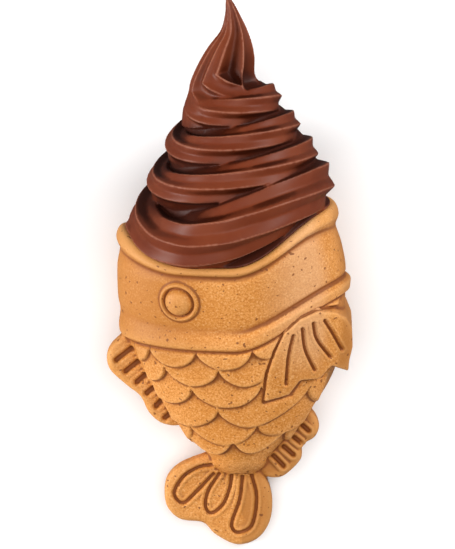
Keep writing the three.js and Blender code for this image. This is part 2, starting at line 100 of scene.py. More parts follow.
# %% [markdown]
# ## The fish's body
# The body is a long tapering form with an oval section. A formula gives each section's
# centre, half width and half depth, so the whole skin follows from a few sizes. The rim of
# the mouth is not level: it climbs to the right cheek, and a little to the left one.

# %% Sizes of the body
MOUTH_HALF_WIDTH = 44.6
BODY_HALF_WIDTH = 48.1
BODY_FULL_V = -13
MOUTH_CORNER_V = 11.5
BODY_HALF_DEPTH = 36
TAIL_END_V = -106.5
END_STARTS = 0.905
TAPER_REACH = 0.97
TAPER_POWER = 1.42
TAIL_DEPTH_LOSS = 0.78
DEPTH_SPAN = 110
DEPTH_POWER = 1.5
MOUTH_BLEND = 5
CENTRE_AT_MOUTH = 0.1
CENTRE_AT_HEAD = 1.5
CENTRE_AT_TAIL = 4.7
CENTRE_SHIFTS = (25, 68)

RIM_FRONT_V = -8
RIM_RIGHT_RISE = 19.5
RIM_LEFT_RISE = 9.7
LEFT_RISE_FROM = 0.45
GILL_TOP_V = -37.3
GILL_BOTTOM_V = -45.5
GILL_TOP_RISE = 18
GILL_TOP_LEFT_RISE = 2
GILL_BOTTOM_RISE = 20
WALL = 4.5
CUP_DEPTH = 17
print("the fish is", BODY_HALF_WIDTH * 2, "mm wide and", BODY_HALF_DEPTH * 2, "mm deep")


# %% Its skin as a formula
def body_section(v):
    """The section's centre, half width and half depth at each height v."""
    down = np.clip((BODY_FULL_V - v) / (BODY_FULL_V - TAIL_END_V), 0, 1)
    taper = np.cos(math.pi / 2 * (TAPER_REACH * np.minimum(down, END_STARTS)) ** TAPER_POWER)
    past_end = np.maximum(0, (down - END_STARTS) / (1 - END_STARTS))
    end = np.sqrt(1 - past_end**2)
    mouth = smoothstep(v, BODY_FULL_V - MOUTH_BLEND, MOUTH_CORNER_V)
    depth_loss = TAIL_DEPTH_LOSS * (np.maximum(0, -v) / DEPTH_SPAN) ** DEPTH_POWER
    centre = lerp(CENTRE_AT_HEAD, CENTRE_AT_TAIL, smoothstep(-v, *CENTRE_SHIFTS))
    return (
        lerp(centre, CENTRE_AT_MOUTH, mouth),
        lerp(BODY_HALF_WIDTH * taper * end, MOUTH_HALF_WIDTH, mouth),
        BODY_HALF_DEPTH * (1 - depth_loss) * end,
    )


def skin(turn, v, proud=0.0):
    """Points of the skin: turn is -90 at the left edge, 0 at the front, 90 at the right."""
    centre, half_width, half_depth = body_section(v)
    side, front = np.sin(np.radians(turn)), np.cos(np.radians(turn))
    out_u, out_w = side * half_depth, front * half_width
    size = np.maximum(np.hypot(out_u, out_w), 1e-9)
    u = centre + half_width * side + proud * out_u / size
    w = half_depth * front + proud * out_w / size
    return np.stack([u, v, w], axis=-1)


def right_rise(side):
    """How far the rim has climbed: side is -1 at the left edge, 0 in front, 1 at the right."""
    return smoothstep(side, 0, 1)


def left_rise(side):
    return np.maximum(0, (-side - LEFT_RISE_FROM) / (1 - LEFT_RISE_FROM)) ** 2


def rim_v(side):
    return RIM_FRONT_V + RIM_RIGHT_RISE * right_rise(side) + RIM_LEFT_RISE * left_rise(side)


def gill_top_v(side):
    return GILL_TOP_V + GILL_TOP_RISE * right_rise(side) + GILL_TOP_LEFT_RISE * left_rise(side)


def gill_bottom_v(side):
    return GILL_BOTTOM_V + GILL_BOTTOM_RISE * right_rise(side)


# %% [markdown]
# ## From rings to a mesh
# A closed skin is a stack of rings with a single point at each end. The same few lines
# build the fish's body, its fins and the plug of ice cream, so they are a helper.

# %% Rings and plain meshes
def placed(name, data):
    """A new object in the scene that shows this mesh, curve, light or camera."""
    obj = bpy.data.objects.new(name, data)
    bpy.context.scene.collection.objects.link(obj)
    return obj


def add_mesh(name, points, faces):
    """A new object from points and faces, with its faces pointing outwards."""
    mesh = bpy.data.meshes.new(name)
    mesh.from_pydata([tuple(p) for p in points], [], faces)
    work = bmesh.new()
    work.from_mesh(mesh)
    bmesh.ops.recalc_face_normals(work, faces=work.faces)
    work.to_mesh(mesh)
    work.free()
    return placed(name, mesh)


def ring_faces(count, around):
    """Quads between rings of points that follow each other, closed round each ring."""
    faces = []
    for ring in range(count - 1):
        for i in range(around):
            j = (i + 1) % around
            low, high = ring * around, (ring + 1) * around
            faces.append((low + i, low + j, high + j, high + i))
    return faces


def ring_skin(name, start, rings, end):
    """A closed skin from a first point, through rings, to a last point."""
    around = len(rings[0])
    points = [p for ring in rings for p in ring] + [start, end]
    faces = ring_faces(len(rings), around)
    last = (len(rings) - 1) * around
    first_pole, last_pole = len(points) - 2, len(points) - 1
    for i in range(around):
        j = (i + 1) % around
        faces.append((first_pole, j, i))
        faces.append((last_pole, last + i, last + j))
    return add_mesh(name, points, faces)


# %% Round lines through a few knots
def spline_point(a, b, c, d, t):
    """A point between b and c on the round line that passes through all four."""
    bend = 2 * a - 5 * b + 4 * c - d
    turn = -a + 3 * b - 3 * c + d
    return 0.5 * (2 * b + (c - a) * t + bend * t**2 + turn * t**3)


def smooth_loop(knots, count):
    """A closed round line through a few knots, as count points."""
    knots = np.array(knots, float)
    line = []
    for step in np.arange(count) * len(knots) / count:
        i = int(step)
        line.append(spline_point(*(knots[(i + k) % len(knots)] for k in (-1, 0, 1, 2)), step % 1))
    return np.array(line)


def smooth_line(knots, steps):
    """An open round line through a few knots, with this many steps from knot to knot."""
    knots = np.array(knots, float)
    ends = [2 * knots[0] - knots[1], *knots, 2 * knots[-1] - knots[-2]]
    line = []
    for a, b, c, d in zip(ends, ends[1:], ends[2:], ends[3:]):
        for t in np.arange(steps) / steps:
            line.append(spline_point(a, b, c, d, t))
    return np.array([*line, knots[-1]])


# %% [markdown]
# ## Modifiers, applied at once
# Remesh, Boolean and Geometry Nodes do the heavy work. Each is added to an object as a
# modifier, and the object that Blender then shows is kept as a plain mesh.

# %% Add modifiers and apply them
def modify(obj, kind, **settings):
    """Adds a modifier with these settings."""
    modifier = obj.modifiers.new(kind.lower(), kind)
    for name, value in settings.items():
        setattr(modifier, name, value)


def baked(obj):
    """The object with its modifiers applied, as a new plain object. The old one goes."""
    bpy.context.view_layer.update()
    seen = obj.evaluated_get(bpy.context.evaluated_depsgraph_get())
    mesh = bpy.data.meshes.new_from_object(seen)
    name = obj.name
    bpy.data.objects.remove(obj)
    return placed(name, mesh)


def carved(obj, tool, operation):
    """The object cut by a closed tool, or only what both share. The tool goes."""
    modify(obj, "BOOLEAN", operation=operation, solver="MANIFOLD", object=tool)
    result = baked(obj)
    bpy.data.objects.remove(tool)
    return result


def joined(name, objects):
    """Several meshes as the loose parts of one mesh."""
    work = bmesh.new()
    for obj in objects:
        work.from_mesh(obj.data)
        bpy.data.objects.remove(obj)
    mesh = bpy.data.meshes.new(name)
    work.to_mesh(mesh)
    work.free()
    return placed(name, mesh)


# %% [markdown]
# ## The body as a mesh
# Rings of the skin are stacked from the tail up to the rim of the mouth. There they roll
# over the rim and go on down inside, as the wall and the floor of a cup.

# %% The plain body with its mouth
BODY_TURNS = np.arange(-90, 270, 2.5)
BODY_SIDE = np.sin(np.radians(BODY_TURNS))
BODY_RINGS = 90
FIRST_RING = 0.012
RING_CROWDING = 0.85
BELOW_RIM = 1.5
RIM_ROLL = [
    # how far below the rim, how far out of the skin
    (0.5, -0.5), (0, -1.4), (-0.2, -2.4), (0.1, -3.5), (1, -WALL), (3, -WALL - 0.2),
]
CUP_TAPER = 4
CUP_FLOOR_RISE = 3


def plain_body():
    """The fish's body without any relief, hollowed at the mouth."""
    rim = rim_v(BODY_SIDE)
    rings = []
    for share in np.linspace(FIRST_RING, 1, BODY_RINGS):
        rings.append(skin(BODY_TURNS, lerp(TAIL_END_V, rim - BELOW_RIM, share**RING_CROWDING)))
    for drop, proud in RIM_ROLL:
        rings.append(skin(BODY_TURNS, rim - drop, proud))
    for share in np.linspace(0.25, 1, 8):
        rings.append(skin(BODY_TURNS, rim - CUP_DEPTH * share, -WALL - CUP_TAPER * share))
    cup_floor = (CENTRE_AT_HEAD, RIM_FRONT_V - CUP_DEPTH + CUP_FLOOR_RISE, 0)
    return ring_skin("body", (CENTRE_AT_TAIL, TAIL_END_V, 0), rings, cup_floor)


body = plain_body()
print("plain body:", len(body.data.polygons), "faces")

# %% [markdown]
# ## Fins and tail
# The three fins that lie in the parting plane are flat plates with soft edges. Each one is
# its outline drawn several times, pulled in a little more towards each face, like the
# layers of a rounded edge. The cheek fins are different: they are plates wrapped over the
# belly, so an outline is punched through a slightly swollen copy of the body.

# %% Plates with rounded edges
FIN_HALF_THICKNESS = 4.5
ANAL_HALF_THICKNESS = 4.2
TAIL_HALF_THICKNESS = 4.2
FIN_EDGE_RADIUS = 2.2
EDGE_LAYERS = 9
PECTORAL_PROUD = 2.3
PECTORAL_REACH = 7

DORSAL = [
    (-40, -41), (-45, -45.4), (-49.6, -50.2), (-51.1, -55), (-49.6, -60.4), (-43, -66.8), (-37, -71.8),
    (-33.6, -78.6), (-28.5, -83.3), (-21, -84.6), (-14, -80), (-24, -64), (-34, -48),
]
ANAL = [
    (30, -76), (35.6, -78.4), (38.5, -84.4), (36.8, -89.6), (31.6, -93.4), (30.9, -99.4), (24.9, -105.9),
    (20.5, -107.6), (15.4, -106.4), (11, -100), (16, -88), (24, -80),
]
TAIL = [
    (-4, -96), (-11, -98), (-20, -101.8), (-25.4, -107), (-26.9, -113.6), (-25.6, -120.8), (-20, -126),
    (-10.6, -127.4), (-5.4, -132.6), (3.8, -137.1), (12.4, -134.6), (17.6, -127.4), (18.8, -118),
    (17, -109.6), (12, -101.4), (5, -95),
]
PECTORAL = [
    (23.5, -37), (30.2, -31), (37.5, -28.3), (44.5, -29.8), (49.6, -33.4), (52.1, -39), (52.4, -47.5),
    (51, -53.5), (50.6, -58.6), (43.5, -54), (38.5, -59.4), (30.2, -59.2), (25.6, -65.6), (15.2, -68.4),
    (16.4, -56), (19.5, -46),
]


def inward_normals(outline):
    """Unit normals of a closed outline, all pointing in."""
    ahead = np.roll(outline, -1, axis=0) - np.roll(outline, 1, axis=0)
    normals = np.stack([-ahead[:, 1], ahead[:, 0]], axis=1)
    normals /= np.linalg.norm(normals, axis=1)[:, None]
    x, y = outline[:, 0], outline[:, 1]
    area = np.sum(x * np.roll(y, -1) - y * np.roll(x, -1))
    return normals if area > 0 else -normals


def rounded_plate(name, outline, half, radius):
    """A plate in the parting plane, half thick on each side of it, with round edges."""
    normals = inward_normals(outline)
    rings = []
    for angle in np.linspace(-90, 90, EDGE_LAYERS):
        inset = radius * (1 - math.cos(math.radians(angle)))
        height = math.copysign(half - radius, angle) if angle else 0
        w = height + radius * math.sin(math.radians(angle))
        flat = outline + normals * inset
        rings.append(np.column_stack([flat, np.full(len(flat), w)]))
    around = len(outline)
    points = [p for ring in rings for p in ring]
    faces = ring_faces(len(rings), around)
    faces.append(tuple(range(around)))
    faces.append(tuple(range(len(points) - around, len(points))))
    return add_mesh(name, points, faces)


dorsal = rounded_plate("dorsal", smooth_loop(DORSAL, 90), FIN_HALF_THICKNESS, FIN_EDGE_RADIUS)
anal = rounded_plate("anal", smooth_loop(ANAL, 90), ANAL_HALF_THICKNESS, FIN_EDGE_RADIUS)
tail = rounded_plate("tail", smooth_loop(TAIL, 120), TAIL_HALF_THICKNESS, FIN_EDGE_RADIUS)
print("three plates in the parting plane")


# %% Cheek fins
SWOLLEN_HEIGHTS = np.arange(-80, 1, 4.0)
SWOLLEN_ENDS = (-88, 0.5)
PUNCH_HALF_DEPTH = 60


def swollen_body():
    """A copy of the body, fatter all round and a little more at its side edges."""
    rings = []
    for v in SWOLLEN_HEIGHTS:
        ring = skin(BODY_TURNS, np.full(len(BODY_TURNS), v), PECTORAL_PROUD)
        ring[:, 0] += PECTORAL_REACH * BODY_SIDE
        rings.append(ring)
    low, high = SWOLLEN_ENDS
    return ring_skin("swollen", (CENTRE_AT_TAIL, low, 0), rings, (CENTRE_AT_HEAD, high, 0))


def cheek_fins():
    """The outline, punched through the swollen body from front to back."""
    outline = np.array(PECTORAL, float)
    around = len(outline)
    low = np.column_stack([outline, np.full(around, -PUNCH_HALF_DEPTH)])
    high = np.column_stack([outline, np.full(around, PUNCH_HALF_DEPTH)])
    faces = ring_faces(2, around)
    faces += [tuple(range(around)), tuple(range(around, 2 * around))]
    punch = add_mesh("cheek_fins", [*low, *high], faces)
    return carved(punch, swollen_body(), "INTERSECT")


cheeks = cheek_fins()
print("cheek fins:", len(cheeks.data.polygons), "faces")

# %% [markdown]
# ## One piece of batter
# Batter flows together, so the fins grow out of the body with soft inner corners. A voxel
# remesh turns the loose meshes into one even skin, and a few rounds of smoothing take its
# small steps away and leave a fillet wherever two forms meet.

# %% Fuse the fish
VOXEL = 0.58
FILLET_ROUNDS = 8


def fused(parts, name, voxel, rounds):
    """Loose meshes as one skin of small voxels, smoothed a few rounds."""
    obj = joined(name, parts)
    modify(obj, "REMESH", mode="VOXEL", voxel_size=voxel, use_smooth_shade=True)
    modify(obj, "SMOOTH", factor=0.5, iterations=rounds)
    return baked(obj)


waffle = fused([body, dorsal, anal, tail, cheeks], "waffle", VOXEL, FILLET_ROUNDS)
print("fused fish:", len(waffle.data.vertices), "points")

# %% [markdown]
# ## Points as arrays
# The fish has about 150,000 points now. They are read into arrays, so that one line of
# NumPy changes them all at once. A few arrays then say where each point is on the body.

# %% Read and write a mesh as arrays
def vectors_of(items, name):
    """One vector of each item, as the rows of an array."""
    flat = np.empty(len(items) * 3, np.float32)
    items.foreach_get(name, flat)
    return flat.reshape(-1, 3).astype(float)


def points_of(mesh):
    return vectors_of(mesh.vertices, "co")


def normals_of(mesh):
    return vectors_of(mesh.vertex_normals, "vector")


def place_points(mesh, points):
    """Moves the mesh's points to these places."""
    mesh.vertices.foreach_set("co", points.astype(np.float32).ravel())
    mesh.update()


def store(mesh, name, values):
    """A number for each point, which a node tree or a material can read by its name."""
    layer = mesh.attributes.get(name) or mesh.attributes.new(name, "FLOAT", "POINT")
    layer.data.foreach_set("value", np.asarray(values, np.float32))


def distance_to_line(flat, knots):
    """How far points are from a line through knots, in the parting plane."""
    nearest = np.full(len(flat), 1e9)
    for a, b in zip(knots[:-1], knots[1:]):
        share = np.clip((flat - a) @ (b - a) / ((b - a) @ (b - a)), 0, 1)
        gap = np.linalg.norm(flat - a - share[:, None] * (b - a), axis=1)
        nearest = np.minimum(nearest, gap)
    return nearest


# %% Where each point is on the body
SKIN_INSIDE = (0.93, 0.985)
SKIN_OUTSIDE = (1.035, 1.07)
CHEEK_FIN_MARGIN = (0.3, 1.8)

points = points_of(waffle.data)
normals = normals_of(waffle.data)
u, v, w = points.T
centre, half_width, half_depth = body_section(v)
across, deep = (u - centre) / np.maximum(half_width, 1), w / np.maximum(half_depth, 1)
reach = np.hypot(across, deep)
side = np.clip(across / np.maximum(reach, 1e-6), -1, 1)
belly_turn = np.degrees(np.arcsin(side))
on_skin = smoothstep(reach, *SKIN_INSIDE) * (1 - smoothstep(reach, *SKIN_OUTSIDE))
flat = np.column_stack([u, v])
from_fin = distance_to_line(flat, np.array([*PECTORAL, PECTORAL[0]], float))
off_fin = smoothstep(from_fin, *CHEEK_FIN_MARGIN)
print("points on the body's outer skin:", int((on_skin > 0.5).sum()))

# %% [markdown]
# ## Rows of scales
# The mould's scales overlap like roof tiles. Each row ends in arcs that meet in cusps, and
# a scale stands proudest at its edge and sinks under the row above. That is one rule with
# a few numbers per row, so Geometry Nodes make it: the tree reads where each point is, and
# pushes the point out along its normal.

# %% Helpers for node trees
def fill(tree, node, inputs):
    """Sets a node's inputs: each to a value, or linked to another node's output."""
    for slot, value in inputs.items():
        value = getattr(value, "socket", value)
        if isinstance(value, bpy.types.NodeSocket):
            tree.links.new(value, node.inputs[slot])
        else:
            node.inputs[slot].default_value = value


def add_node(tree, kind, inputs=None, **settings):
    """A new node with these settings and inputs."""
    node = tree.nodes.new(kind)
    for name, value in settings.items():
        setattr(node, name, value)
    fill(tree, node, inputs or {})
    return node


class Field:
    """A number that flows through a node tree. Sums with it add Math nodes."""

    def __init__(self, tree, socket):
        self.tree = tree
        self.socket = socket

    def math(self, operation, *others):
        values = dict(enumerate((self, *others)))
        node = add_node(self.tree, "ShaderNodeMath", values, operation=operation)
        return Field(self.tree, node.outputs[0])

    def __add__(self, other):
        return self.math("ADD", other)

    def __sub__(self, other):
        return self.math("SUBTRACT", other)

    def __mul__(self, other):
        return self.math("MULTIPLY", other)

    def __truediv__(self, other):
        return self.math("DIVIDE", other)

    def soft(self):
        """Cut to 0..1 with soft ends."""
        cut = self.math("MAXIMUM", 0.0).math("MINIMUM", 1.0)
        return cut * cut * (cut * -2.0 + 3.0)


def new_tree(name, inputs):
    """A Geometry Nodes tree with named inputs. Returns it and its inputs as a dict."""
    tree = bpy.data.node_groups.new(name, "GeometryNodeTree")
    face = tree.interface
    face.new_socket(name="Geometry", in_out="INPUT", socket_type="NodeSocketGeometry")
    for label, kind in inputs.items():
        face.new_socket(name=label, in_out="INPUT", socket_type=f"NodeSocket{kind}")
    face.new_socket(name="Geometry", in_out="OUTPUT", socket_type="NodeSocketGeometry")
    start = add_node(tree, "NodeGroupInput")
    return tree, {socket.name: socket for socket in start.outputs if socket.name}


def end_tree(tree, geometry, material):
    """Ends a tree in Realize Instances and Set Material."""
    realize = add_node(tree, "GeometryNodeRealizeInstances", {0: geometry})
    inputs = {"Geometry": realize.outputs[0], "Material": material}
    paint = add_node(tree, "GeometryNodeSetMaterial", inputs)
    add_node(tree, "NodeGroupOutput", {0: paint.outputs[0]})


def run_tree(obj, tree, values):
    """Runs a tree on an object with these inputs, and returns the plain result."""
    modifier = obj.modifiers.new(tree.name, "NODES")
    modifier.node_group = tree
    for socket in tree.interface.items_tree:
        if socket.in_out == "INPUT" and socket.name in values:
            modifier[socket.identifier] = values[socket.name]
    return baked(obj)


# %% The tree for the scales
SCALE_ROWS = [
    # place from tail to gill in sevenths, degrees from scale to scale, one scale's middle
    (1.5, 53, -33), (2.1, 60, -15), (3.0, 62, -46), (4.15, 43, -8), (5.25, 33, -27), (6.2, 30, -36),
]
SCALE_STEP = 2.3
SCALE_ARC = 1.0
SCALE_EDGE = 0.16
SCALE_PUFF = 0.5
SCALE_SINKS = 0.5
LEAST_PROUD = 0.15
SCALE_SPAN = 7


def scale_tree():
    """Pushes each point out as far as the scale that it is on stands proud."""
    tree, given = new_tree(
        "rows_of_scales",
        {"Step": "Float", "Arc": "Float", "Edge": "Float", "Puff": "Float", "Material": "Material"},
    )

    def named(name):
        node = add_node(tree, "GeometryNodeInputNamedAttribute", {"Name": name}, data_type="FLOAT")
        return Field(tree, node.outputs["Attribute"])

    along, turn, mask = named("along"), named("belly_turn"), named("scaled")
    step, arc, edge, puff = (Field(tree, given[name]) for name in ("Step", "Arc", "Edge", "Puff"))
    proud = step * LEAST_PROUD
    for row, pitch, middle in SCALE_ROWS:
        shifted = turn - middle + pitch / 2
        place = shifted.math("FLOORED_MODULO", float(pitch)) / (pitch / 2) - 1.0
        roundness = (place * place * -1.0 + 1.0).math("MAXIMUM", 0.0)
        from_edge = along - row - arc * (roundness.math("SQRT") * -1.0 + 1.0)
        sunk = (from_edge * SCALE_SINKS).math("MAXIMUM", 0.0).math("MINIMUM", 1.0)
        scale = (sunk * -1.0 + 1.0) * (step + puff * roundness)
        rise = (from_edge / edge + 0.5).soft()
        proud = proud + (scale - proud) * rise
    height = proud * mask

    normal = add_node(tree, "GeometryNodeInputNormal").outputs["Normal"]
    push = add_node(tree, "ShaderNodeVectorMath", {0: normal, "Scale": height}, operation="SCALE")
    inputs = {"Geometry": given["Geometry"], "Offset": push.outputs[0]}
    move = add_node(tree, "GeometryNodeSetPosition", inputs)
    end_tree(tree, move.outputs["Geometry"], given["Material"])
    return tree


# %% Press the scales
FLANK_TURNS = (62, 72)
GILL_FADE = 0.1
WAFFLE_FINISH = bpy.data.materials.new("baked_batter")
along = SCALE_SPAN * (v - TAIL_END_V) / (gill_bottom_v(side) - TAIL_END_V)
on_flank = smoothstep(np.abs(belly_turn), *FLANK_TURNS)
store(waffle.data, "along", along)
store(waffle.data, "belly_turn", belly_turn)
below_gill = 1 - smoothstep(along, SCALE_SPAN - GILL_FADE, SCALE_SPAN)
store(waffle.data, "scaled", on_skin * off_fin * (1 - on_flank) * below_gill)
waffle = run_tree(
    waffle,
    scale_tree(),
    {
        "Step": SCALE_STEP, "Arc": SCALE_ARC, "Edge": SCALE_EDGE, "Puff": SCALE_PUFF,
        "Material": WAFFLE_FINISH,
    },
)
pressed = points_of(waffle.data)
print("scales stand up to", round(float(np.abs(pressed - points).max()), 2), "mm proud")

# %% [markdown]
# ## The mould's other relief
# The lip, the gill cover, the eye and the grooves of the fins are each drawn once in the
# mould. Each is a small function that gives a height in millimetres for every point, and
# all the heights are added and pressed along the normals together.

# %% Profiles and grooves
LIP_HEIGHT = 3.4
LIP_CORNER_EXTRA = 4.5
GROOVE_STEPS = 5
SHOULDER_AT = 1.5
SHOULDER_WIDTH = 0.5


def lip_height(side):
    """The rolled lip is higher at the corners of the mouth."""
    return LIP_HEIGHT + LIP_CORNER_EXTRA * side**4


def profile(x, knots):
    """A soft curve of height over x, level at each of its knots."""
    places, heights = np.array(knots, float).T
    x = np.clip(x, places[0], places[-1])
    i = np.clip(np.searchsorted(places, x) - 1, 0, len(places) - 2)
    share = (x - places[i]) / (places[i + 1] - places[i])
    return lerp(heights[i], heights[i + 1], share * share * (3 - 2 * share))


def groove(flat, knots, width, depth, shoulder):
    """A round-bottomed groove along a smooth line through knots, with raised shoulders."""
    share = distance_to_line(flat, smooth_line(knots, GROOVE_STEPS)) / (width / 2)
    valley = -depth * np.clip(1 - share**2, 0, 1)
    raised = shoulder * np.exp(-(((share - SHOULDER_AT) / SHOULDER_WIDTH) ** 2))
    return valley + raised


# %% Lip and gill cover
LIP_PROFILE = [(-0.3, 0.4), (0.5, 1.5), (1.15, -0.6), (2.1, 0)]
GILL_LEFT_PROFILE = [(-0.06, 0), (0.3, 2.3), (1.25, -0.3), (1.7, 0)]
GILL_RIGHT_PROFILE = [(-0.06, 0), (0.25, 1.9), (0.75, 2.1), (1.15, -0.7), (1.5, 0)]
GILL_CHANGES = (-0.2, 0.6)

lip = profile((rim_v(side) - v) / lip_height(side), LIP_PROFILE)
gill_across = (v - gill_bottom_v(side)) / (gill_top_v(side) - gill_bottom_v(side))
gill_left = profile(gill_across, GILL_LEFT_PROFILE)
gill_right = profile(gill_across, GILL_RIGHT_PROFILE)
gill = lerp(gill_left, gill_right, smoothstep(side, *GILL_CHANGES))
print("lip", round(float(lip.max()), 2), "mm proud, gill", round(float(gill.max()), 2), "mm")

# %% Eye
EYE_U = -20.7
EYE_V = -23.5
EYE_DOME = 5.9
EYE_DOME_HEIGHT = 3.3
EYE_RING = [(5.6, 0), (6.2, -0.5), (7.5, 1.2), (9.2, -0.1), (10.5, 0)]

eye_turn = math.degrees(math.asin((EYE_U - CENTRE_AT_HEAD) / BODY_HALF_WIDTH))
eye_seat = skin(eye_turn, np.array(EYE_V, float))
from_eye = np.linalg.norm(np.column_stack([u, v, np.abs(w)]) - eye_seat, axis=1)
dome = EYE_DOME_HEIGHT * np.sqrt(np.clip(1 - (from_eye / EYE_DOME) ** 2, 0, 1))
eye = dome + profile(from_eye, EYE_RING)
print("eye at", round(eye_turn), "degrees round the body")

# %% Grooves of the fins
PECTORAL_RAYS = [
    [(27.4, -38.2), (25.4, -47.5), (24.4, -60.5)], [(31.2, -35.4), (32.4, -45), (36.4, -55)],
    [(35.8, -33.4), (37.4, -41), (43, -49.8)], [(40.6, -32.8), (44.2, -39.4), (48, -47.4)],
]
DORSAL_SLOTS = [
    [(-40.6, -50.4), (-46.8, -55.4)], [(-38, -56.2), (-43, -60.4)], [(-34.6, -61.8), (-38.3, -65.1)],
    [(-31.4, -67.6), (-34.2, -70)], [(-28, -73.2), (-30.2, -75.6)], [(-24.6, -79.2), (-26.6, -80.9)],
]
ANAL_SLOTS = [
    [(31.6, -84.4), (33.8, -86.4)], [(28, -89.6), (30.4, -91.6)],
    [(23.6, -93.6), (27.4, -97)], [(19.3, -97.6), (23.4, -102)],
]
TAIL_PETALS = [
    [
        (-7, -101.5), (-12.6, -102.7), (-18.9, -106.8), (-22.8, -114), (-19, -118.4),
        (-13.1, -113), (-6, -105.5),
    ],
    [(-3.8, -105.5), (-8.2, -112.5), (-9.6, -119.5), (-7, -122.9), (-2.2, -119), (0.6, -112), (1.6, -106)],
    [(6.1, -106.5), (4.8, -117), (1.5, -127.5), (4, -131.3), (10, -128.3), (12.1, -116), (10, -106)],
]

GROOVES = [
    # lines, width, depth, height of the shoulders
    (PECTORAL_RAYS, 1.8, 1.5, 0.3), (DORSAL_SLOTS, 3.0, 1.7, 0.2),
    (ANAL_SLOTS, 2.5, 1.8, 0.6), (TAIL_PETALS, 2.0, 1.5, 0.35),
]
FACING = (0.2, 0.6)

fins = np.zeros(len(flat))
for lines, width, depth, shoulder in GROOVES:
    for knots in lines:
        fins += groove(flat, knots, width, depth, shoulder)
fins *= smoothstep(np.abs(normals[:, 2]), *FACING)
print("grooves cut up to", round(float(-fins.min()), 2), "mm deep")

# %% Press it all
relief = on_skin * (lip + gill + eye) + fins
pressed += normals * relief[:, None]
place_points(waffle.data, pressed)
print("relief from", round(float(relief.min()), 2), "to", round(float(relief.max()), 2), "mm")

# %% [markdown]
# ## Hollows and crests
# Painted shade darkens the batter in its hollows and creases, and painted highlights
# brighten the crests of batter and cream. To let a material know which is which, every
# point is compared with a smoothed copy of its own surface. Where the smoothed surface
# lies above the point, the point is in a hollow.

# %% Measure hollows
def averager(mesh):
    """A function that mixes each point's values half and half with its neighbours'."""
    count = len(mesh.vertices)
    pairs = np.empty(len(mesh.edges) * 2, np.int32)
    mesh.edges.foreach_get("vertices", pairs)
    a, b = pairs.reshape(-1, 2).T
    links = np.bincount(a, minlength=count) + np.bincount(b, minlength=count)

    def average(values):
        total = np.column_stack([
            np.bincount(a, column[b], count) + np.bincount(b, column[a], count)
            for column in values.T
        ])
        return 0.5 * values + 0.5 * total / np.maximum(links, 1)[:, None]

    return average


def store_hollows(mesh, name, rounds, full):
    """Stores 1 in a hollow that is full deep, -1 on such a crest, and 0 on even ground."""
    average = averager(mesh)
    original = points_of(mesh)
    smooth = original.copy()
    for _ in range(rounds):
        smooth = average(smooth)
    depth = np.einsum("ij,ij->i", smooth - original, normals_of(mesh))
    store(mesh, name, np.clip(depth / full, -1, 1))


store_hollows(waffle.data, "crease", rounds=6, full=0.12)
store_hollows(waffle.data, "hollow", rounds=60, full=0.9)
print("hollows measured")

# %% [markdown]
# ## A lighter mesh
# The voxels are as small where the batter is even as they are in its relief. Decimate
# merges faces where that changes least, so the piece stays light enough to share.

# %% Fewer faces where the surface is even
MOST_TRIANGLES = 190_000


def thinned(obj):
    """Merges faces on even ground until the piece is light enough to share."""
    triangles = sum(len(face.vertices) - 2 for face in obj.data.polygons)
    if triangles > MOST_TRIANGLES:
        modify(obj, "DECIMATE", ratio=MOST_TRIANGLES / triangles)
        obj = baked(obj)
    return obj


waffle = thinned(waffle)
print("fish:", len(waffle.data.polygons), "faces")

# %% [markdown]
# ## Where the batter browns, and painted light and shade
# The seam where the two halves of the mould meet is the brownest. The left of the head
# and the front of the lip get painted shade, and the right cheek a painted sheen. One
# number for each point says so, and the material reads it.

# %% How the batter is baked, and where light and shade are painted
CHEEK_SHEEN_SIDE = (0.15, 0.65)
PAINTED_LIGHT_HEIGHTS = (-62, -38)
CHEEK_SHEEN_ENDS_AT = (0.74, 0.9)
LIP_SHADE_BAND = (5, 6.5)
LIP_SHADE_FADES = (0.25, 0.6)
LIP_SHADE_SHARE = 0.95
LEFT_SHADE_SIDE = (0.05, 0.7)
LEFT_SHADE_SHARE = 0.8
SEAM_TURNS = (66, 86)


def store_baking_and_light(mesh):
    """Stores 1 for the painted sheen on the right cheek, 0 where it is golden, and -1 where the seam is
    brown or painted shade darkens the left of the head and the lip's front.
    """
    u, v, _ = points_of(mesh).T
    centre, half_width, _ = body_section(v)
    side = np.clip((u - centre) / np.maximum(half_width, 1), -1, 1)
    # A painted sheen on the right cheek, above the gill.
    pale = smoothstep(side, *CHEEK_SHEEN_SIDE) * smoothstep(v, *PAINTED_LIGHT_HEIGHTS)
    pale *= 1 - smoothstep(side, *CHEEK_SHEEN_ENDS_AT)
    # Painted shade on the left of the head, above the gill.
    pale -= LEFT_SHADE_SHARE * smoothstep(-side, *LEFT_SHADE_SIDE) * smoothstep(v, *PAINTED_LIGHT_HEIGHTS)
    # Painted shade on the lip's front, under the cream, fading out to the right.
    from_rim = rim_v(side) - v
    on_lip = 1 - smoothstep(from_rim, *LIP_SHADE_BAND)
    pale = np.minimum(pale, 1 - (1 + LIP_SHADE_SHARE) * on_lip * (1 - smoothstep(side, *LIP_SHADE_FADES)))
    seam = smoothstep(np.degrees(np.arcsin(side)), *SEAM_TURNS)
    store(mesh, "baking_and_light", pale * (1 - seam) - seam)


store_baking_and_light(waffle.data)
print("stored:", [a.name for a in waffle.data.attributes if a.data_type == "FLOAT"])

# %% [markdown]
# ## The fish takes its place
# The finished fish is laid on the table.

# %% Lay the fish down
def lay_down(obj):
    """Turns millimetres in the mould into metres on the table, flat where it would sink."""
    obj.data.transform(TO_TABLE)
    points = points_of(obj.data)
    points[:, 2] = np.maximum(points[:, 2], 0)
    place_points(obj.data, points)
    obj.data.shade_smooth()


lay_down(waffle)
waffle.name = "fish_waffle"
waffle.data.name = "fish_waffle"
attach(waffle, "root")
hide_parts("waffle_cone")
print("fish:", len(waffle.data.polygons), "faces")

